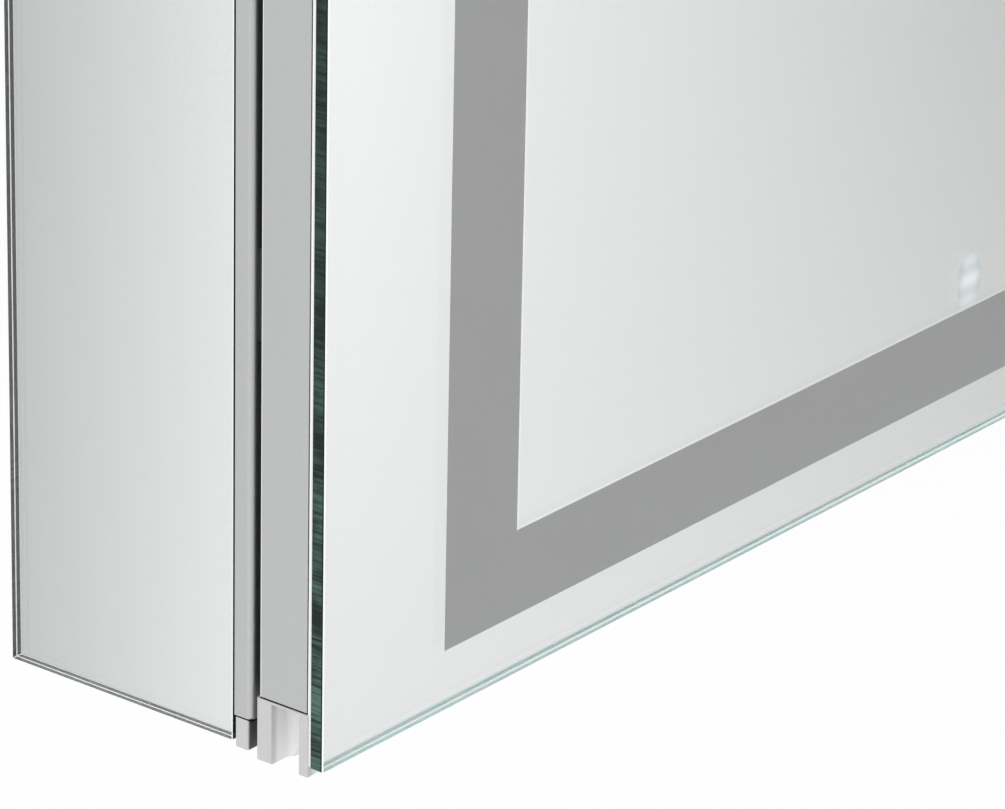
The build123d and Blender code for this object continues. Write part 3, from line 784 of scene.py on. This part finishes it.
def repeated(name, shape, places, facing, look, body, turn=0.0):
    """One plain mesh with the bmesh shape at every place. The shape is drawn along its own Y axis;
    facing turns it, and turn is the most that each is spun at random about that axis."""
    bmesh.ops.recalc_face_normals(shape, faces=shape.faces[:])
    part_mesh = bpy.data.meshes.new(name + "_part")
    shape.to_mesh(part_mesh)
    shape.free()
    part = bpy.data.objects.new(name + "_part", part_mesh)
    spots = bpy.data.meshes.new(name + "_places")
    spots.from_pydata([tuple(p) for p in places], [], [])
    holder = bpy.data.objects.new(name + "_places", spots)
    bpy.context.scene.collection.objects.link(part)
    bpy.context.scene.collection.objects.link(holder)
    repeat = holder.modifiers.new("repeat", "NODES")
    repeat.node_group = REPEAT
    sockets = {item.name: item.identifier for item in REPEAT.interface.items_tree if item.in_out == "INPUT"}
    for label, value in (("Piece", part), ("Facing", facing), ("Turn", turn), ("Seed", SEED), ("Look", look)):
        repeat[sockets[label]] = value
    ready = holder.evaluated_get(bpy.context.evaluated_depsgraph_get())
    mesh = bpy.data.meshes.new_from_object(ready)
    holder.modifiers.remove(repeat)
    bpy.data.objects.remove(holder)
    bpy.data.objects.remove(part)
    mesh.name = name
    mesh.materials.clear()
    piece = as_object(name, mesh, look)
    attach(piece, body)
    return piece


def lathe(shape, outline, steps=24, closed=False):
    """Turns (radius, y) points about the Y axis. Returns the rings of vertices."""
    rings = []
    for radius, y in outline:
        angles = [2 * math.pi * i / steps for i in range(steps)]
        rings.append([shape.verts.new((radius * math.cos(a), y, radius * math.sin(a))) for a in angles])
    pairs = list(zip(rings, rings[1:]))
    if closed:
        pairs.append((rings[-1], rings[0]))
    for one, two in pairs:
        for i in range(steps):
            j = (i + 1) % steps
            shape.faces.new((one[i], one[j], two[j], two[i]))
    return rings


def cross_screw(head, rise, shank, length):
    """Screw along Y with its low head towards -Y and a cross recess in it."""
    shape = bmesh.new()
    rings = lathe(shape, ((head * 0.84, -rise), (head, -rise * 0.6), (head, 0.0), (shank, 0.0),
                          (shank, length * 0.75), (shank * 0.15, length)))
    shape.faces.new(rings[-1])
    arm = head * 0.56
    half = head * 0.13
    plus = ((half, half), (half, arm), (-half, arm), (-half, half), (-arm, half), (-arm, -half),
            (-half, -half), (-half, -arm), (half, -arm), (half, -half), (arm, -half), (arm, half))
    rim = [shape.verts.new((x, -rise, z)) for x, z in plus]
    pit = [shape.verts.new((x * 0.8, -rise * 0.3, z * 0.8)) for x, z in plus]
    count = len(plus)
    for i in range(count):
        j = (i + 1) % count
        shape.faces.new((rim[i], rim[j], pit[j], pit[i]))
    shape.faces.new(pit)
    borders = []
    for loop in (rings[0], rim):
        for i in range(len(loop)):
            ends = {loop[i], loop[(i + 1) % len(loop)]}
            borders += [edge for edge in loop[i].link_edges if set(edge.verts) == ends]
    bmesh.ops.triangle_fill(shape, use_beauty=True, edges=borders)
    return shape


HINGE_SCREWS = 8
HINGE_SCREW_RISE = 0.45 * MM
HINGE_SCREW_SHANK = 0.9 * MM


def hinge_screws():
    """Cross-head screws in place of the plain ones of the two hinge leaves."""
    for body, turn_over in (("cabinet", 0.0), ("door", math.pi)):
        node = "hinge_screws_" + body
        low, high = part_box(node)
        head = (high.x - low.x) / 2
        face = low.y + HINGE_SCREW_RISE if body == "cabinet" else high.y - HINGE_SCREW_RISE
        step = (high.z - low.z - 2 * head) / (HINGE_SCREWS - 1)
        spots = [((low.x + high.x) / 2, face, low.z + head + i * step) for i in range(HINGE_SCREWS)]
        length = high.y - low.y - HINGE_SCREW_RISE
        screw = cross_screw(head, HINGE_SCREW_RISE, HINGE_SCREW_SHANK, length)
        piece = repeated(node + "_driven", screw, spots, (0, 0, turn_over), MATERIALS["chrome"], body,
                         turn=ANY_TURN)
        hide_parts(node)


PEG_RADIUS = 3.0 * MM
PEG_ROWS = 15
PEG_PITCH = 32.0 * MM
PEG_IN = 7 * MM              # peg holes within the edges of the strips
EYELET_OUTLINE = ((2.45 * MM, -0.02 * MM), (2.6 * MM, 0.3 * MM), (2.95 * MM, 0.38 * MM),
                  (3.3 * MM, 0.22 * MM), (3.4 * MM, -0.02 * MM))
ROUND_STEPS = 20


def eyelets():
    """Plated eyelets round the free shelf holes."""
    pegs = [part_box("glass_shelf_%d" % n)[0].z - PEG_RADIUS for n in (1, 2, 3)]
    rows = [(i - PEG_ROWS // 2) * PEG_PITCH for i in range(PEG_ROWS)]
    free = [z for z in rows if min(abs(z - peg) for peg in pegs) > 2 * MM]
    for side, facing in (("left", -math.pi / 2), ("right", math.pi / 2)):
        low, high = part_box("peg_strips_" + side)
        face = high.x if side == "left" else low.x
        spots = [(face, y, z) for y in (low.y + PEG_IN, high.y - PEG_IN) for z in free]
        shape = bmesh.new()
        lathe(shape, EYELET_OUTLINE, ROUND_STEPS, closed=True)
        repeated("shelf_hole_eyelets_" + side, shape, spots, (0, 0, facing), MATERIALS["chrome"], "cabinet")


def rounded_slot(shape, half_long, half_wide, y0, y1, rim=0.0):
    """An upright slot shape with round ends between two Y planes: a ring of width rim, or solid."""
    def outline(shrink):
        points = []
        for centre, start in ((half_long - half_wide, 0.0), (half_wide - half_long, math.pi)):
            for i in range(9):
                angle = start + math.pi * i / 8
                points.append(((half_wide - shrink) * math.cos(angle),
                               centre + (half_wide - shrink) * math.sin(angle)))
        return points

    outer = outline(0.0)
    near = [shape.verts.new((x, y0, z)) for x, z in outer]
    far = [shape.verts.new((x, y1, z)) for x, z in outer]
    count = len(outer)
    if rim:
        inner = outline(rim)
        near_in = [shape.verts.new((x, y0, z)) for x, z in inner]
        far_in = [shape.verts.new((x, y1, z)) for x, z in inner]
    for i in range(count):
        j = (i + 1) % count
        shape.faces.new((near[i], near[j], far[j], far[i]))
        if rim:
            shape.faces.new((near_in[i], far_in[i], far_in[j], near_in[j]))
            shape.faces.new((near[i], near_in[i], near_in[j], near[j]))
            shape.faces.new((far[i], far[j], far_in[j], far_in[i]))
    if not rim:
        shape.faces.new(near)
        shape.faces.new(far)


AIR_SLOTS = 20
AIR_SLOT_PITCH = 9.0 * MM
AIR_SLOT_SEAT = -0.01 * MM   # slot pieces stand this far off the cover
COVER_SCREW = (3.0 * MM, 1.0 * MM, 1.4 * MM, 5 * MM)     # head, rise, shank, length


def cover_details():
    """Air slots and screws of the wiring cover."""
    low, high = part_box("wiring_cover")
    middle = (low.z + high.z) / 2
    spots = [((i - (AIR_SLOTS - 1) / 2) * AIR_SLOT_PITCH, low.y, middle) for i in range(AIR_SLOTS)]
    rims = bmesh.new()
    rounded_slot(rims, 9.5 * MM, 2.2 * MM, -0.45 * MM, AIR_SLOT_SEAT, rim=0.7 * MM)
    repeated("cover_slot_rims", rims, spots, (0, 0, 0), MATERIALS["painted_panel"], "cabinet")
    openings = bmesh.new()
    rounded_slot(openings, 8.7 * MM, 1.4 * MM, -0.12 * MM, AIR_SLOT_SEAT)
    repeated("cover_slot_openings", openings, spots, (0, 0, 0), MATERIALS["rubber"], "cabinet")
    sides = (low.x + 14 * MM, high.x - 14 * MM)
    corners = [(x, y, low.z) for x in sides for y in (low.y + 12 * MM, -14 * MM)]
    repeated("cover_screws", cross_screw(*COVER_SCREW), corners, (math.pi / 2, 0, 0), MATERIALS["chrome"],
             "cabinet", turn=ANY_TURN)


RIVET_IN = 6.0 * MM          # rivets within the sheet's edge
RIVET_STEPS_ACROSS = 8
RIVET_STEPS_ALONG = 10
RIVET_OUTLINE = ((2.6 * MM, 0.01 * MM), (2.4 * MM, -0.14 * MM), (1.2 * MM, -0.2 * MM), (1.1 * MM, -0.06 * MM))


def back_rivets():
    """Low rivet heads round the edge of the back sheet."""
    low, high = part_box("back_panel")
    x0, x1, z0, z1 = low.x + RIVET_IN, high.x - RIVET_IN, low.z + RIVET_IN, high.z - RIVET_IN
    across = [x0 + (x1 - x0) * i / RIVET_STEPS_ACROSS for i in range(RIVET_STEPS_ACROSS + 1)]
    along = [z0 + (z1 - z0) * i / RIVET_STEPS_ALONG for i in range(1, RIVET_STEPS_ALONG)]
    spots = [(x, 0.0, z) for x in across for z in (z0, z1)] + [(x, 0.0, z) for x in (x0, x1) for z in along]
    shape = bmesh.new()
    rings = lathe(shape, RIVET_OUTLINE, ROUND_STEPS)
    shape.faces.new(rings[-1])
    shape.faces.new(rings[0])
    repeated("back_rivets", shape, spots, (0, 0, math.pi), MATERIALS["hinge_steel"], "cabinet",
             turn=ANY_TURN)


def small_parts():
    hinge_screws()
    back_rivets()
    eyelets()
    cover_details()


# ---- light and floor ------------------------------------------------------------------------
FLOOR_DEPTH = -1.5
FLOOR_RADIUS = 60.0


def floor():
    """A plain pale floor with the faintest mottling."""
    shape = bmesh.new()
    bmesh.ops.create_circle(shape, cap_ends=True, segments=96, radius=FLOOR_RADIUS)
    mesh = bpy.data.meshes.new("floor")
    shape.to_mesh(mesh)
    shape.free()
    made, shader = material("pale_floor")
    tree = made.node_tree
    shader.inputs["Roughness"].default_value = 1.0
    shader.inputs["Specular IOR Level"].default_value = 0.0
    place = add(tree, "ShaderNodeTexCoord")
    mottle = add(tree, "ShaderNodeTexNoise", Scale=0.4, Detail=3.0)
    wire(tree, place, "Object", mottle, "Vector")
    shade = add(tree, "ShaderNodeMix", data_type="RGBA")
    wire(tree, mottle, "Fac", shade, 0)
    shade.inputs[6].default_value = (0.955, 0.955, 0.955, 1)
    shade.inputs[7].default_value = (0.965, 0.965, 0.965, 1)
    tree.links.new(shade.outputs[2], shader.inputs["Base Color"])
    piece = as_object("floor", mesh, made)
    piece.location.z = FLOOR_DEPTH


def sky():
    """Even white studio light from all round, a little stronger from above."""
    world = bpy.data.worlds.new("studio")
    bpy.context.scene.world = world
    world.use_nodes = True
    tree = world.node_tree
    light = tree.nodes["Background"]
    place = add(tree, "ShaderNodeTexCoord")
    split = add(tree, "ShaderNodeSeparateXYZ")
    wire(tree, place, "Generated", split, "Vector")
    rise = ramp_between(tree, 0.90, 1.04, -0.1, 0.9)
    wire(tree, split, "Z", rise, "Value")
    wire(tree, rise, "Result", light, "Strength")
    light.inputs["Color"].default_value = (1, 1, 1, 1)


CARD_AWAY = 2.9          # from the mirrored camera to the card
CARD_SIZE = 1.1
CARD_FADE = (0.36 * CARD_SIZE, 0.49 * CARD_SIZE)
ROOM_CARD_HALF = 3.0
ROOM_CARD_HIGH = 0.6
ROOM_CARD_FADE = (1.8, 2.7)
ROOM_CARD_TONES = ((0.60, 0.96), (0.50, 0.90))
ROOM_CARD_SPANS = ((-2.4, 2.4), (-1.9, 0.1))


def card_look(name, left, right, span_x, span_y, fade):
    """Light whose tone changes over the card, and which fades out towards its rim.
    left and right are (low, high) tones at the two ends of span_x, over span_y."""
    made = bpy.data.materials.new(name)
    made.use_nodes = True
    tree = made.node_tree
    tree.nodes.remove(tree.nodes["Principled BSDF"])
    place = add(tree, "ShaderNodeTexCoord")
    split = add(tree, "ShaderNodeSeparateXYZ")
    wire(tree, place, "Object", split, "Vector")
    shade = add(tree, "ShaderNodeMapRange", From_Min=span_x[0], From_Max=span_x[1])
    wire(tree, split, "X", shade, "Value")
    for tones, into in ((left, "To Min"), (right, "To Max")):
        side = add(tree, "ShaderNodeMapRange", From_Min=span_y[0], From_Max=span_y[1], To_Min=tones[0],
                   To_Max=tones[1])
        wire(tree, split, "Y", side, "Value")
        wire(tree, side, "Result", shade, into)
    glow = add(tree, "ShaderNodeEmission")
    wire(tree, shade, "Result", glow, "Strength")
    clear = add(tree, "ShaderNodeBsdfTransparent")
    reach = add(tree, "ShaderNodeVectorMath", operation="LENGTH")
    wire(tree, place, "Object", reach, 0)
    rim = ramp_between(tree, 0.0, 1.0, *fade)
    wire(tree, reach, "Value", rim, "Value")
    both = add(tree, "ShaderNodeMixShader")
    wire(tree, rim, "Result", both, 0)
    wire(tree, glow, "Emission", both, 1)
    wire(tree, clear, "BSDF", both, 2)
    wire(tree, both, "Shader", tree.nodes["Material Output"], "Surface")
    return made


def card(name, half, look, turn, place):
    """A soft studio card that only reflections see."""
    shape = bmesh.new()
    bmesh.ops.create_grid(shape, x_segments=1, y_segments=1, size=half)
    mesh = bpy.data.meshes.new(name)
    shape.to_mesh(mesh)
    shape.free()
    piece = as_object(name, mesh, look)
    piece.rotation_mode = "QUATERNION"
    piece.rotation_quaternion = turn.to_quaternion()
    piece.location = place
    piece.visible_camera = False
    piece.visible_diffuse = False
    piece.visible_shadow = False


def card_square_to(name, thin, plane, left, right, span_x, span_y):
    """A card square to the view that the mirror lying across axis thin, at plane, sends back."""
    camera = bpy.context.scene.camera
    flip = Matrix.Identity(3)
    flip[thin][thin] = -1.0
    eye = flip @ camera.location
    eye[thin] += 2 * plane
    turn = camera.rotation_quaternion.to_matrix()
    across = flip @ turn.col[0]
    up = flip @ turn.col[1]
    ahead = flip @ -turn.col[2]
    look = card_look(name, left, right, span_x, span_y, CARD_FADE)
    facing = Matrix((across, up, across.cross(up))).transposed()
    card(name, CARD_SIZE / 2, look, facing, eye + ahead * CARD_AWAY)


def cards():
    """Two cards that the front and side mirrors send to the camera, and three for the other sides."""
    card_square_to("front_card", 1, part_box("front_glass")[1].y, (0.91, 1.02), (0.785, 0.664),
                   (-0.076, 0.236), (-0.157, 0.181))
    card_square_to("side_card", 0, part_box("side_mirror_left")[1].x, (0.62, 0.59), (0.93, 0.91),
                   (-0.245, -0.125), (-0.157, 0.181))
    upright = Matrix(((1, 0, 0), (0, 0, -1), (0, 1, 0)))
    along = Matrix.Identity(3)
    across = Matrix.Rotation(math.pi / 2, 3, "Z")
    for name, turn, x, y in (("room_card_front", along, 0, -2.6), ("room_card_right", across, 3.4, -0.6),
                             ("room_card_rear", along, 0, 3.4)):
        look = card_look(name, *ROOM_CARD_TONES, *ROOM_CARD_SPANS, ROOM_CARD_FADE)
        card(name, ROOM_CARD_HALF, look, turn @ upright, Vector((x, y, ROOM_CARD_HIGH)))


SOFTBOX_SIZE = 2.2
SOFTBOX_POWER = 28.0
SOFTBOX_PLACE = (-3.4, -1.0, 0.9)
SOFTBOX_AIM = Vector((-0.33, -0.1, 0.0))


def softbox():
    """One large soft light from the left."""
    data = bpy.data.lights.new("left_softbox", "AREA")
    data.shape = "RECTANGLE"
    data.size = SOFTBOX_SIZE
    data.size_y = SOFTBOX_SIZE
    data.energy = SOFTBOX_POWER
    box = bpy.data.objects.new("left_softbox", data)
    box.location = SOFTBOX_PLACE
    box.rotation_mode = "QUATERNION"
    box.rotation_quaternion = (SOFTBOX_AIM - box.location).to_track_quat("-Z", "Y")
    box.visible_glossy = False
    bpy.context.scene.collection.objects.link(box)


make_camera()
bpy.context.scene.view_settings.view_transform = "Standard"
floor()
sky()
cards()
softbox()
dress_frame()
glass()
trims()
small_parts()
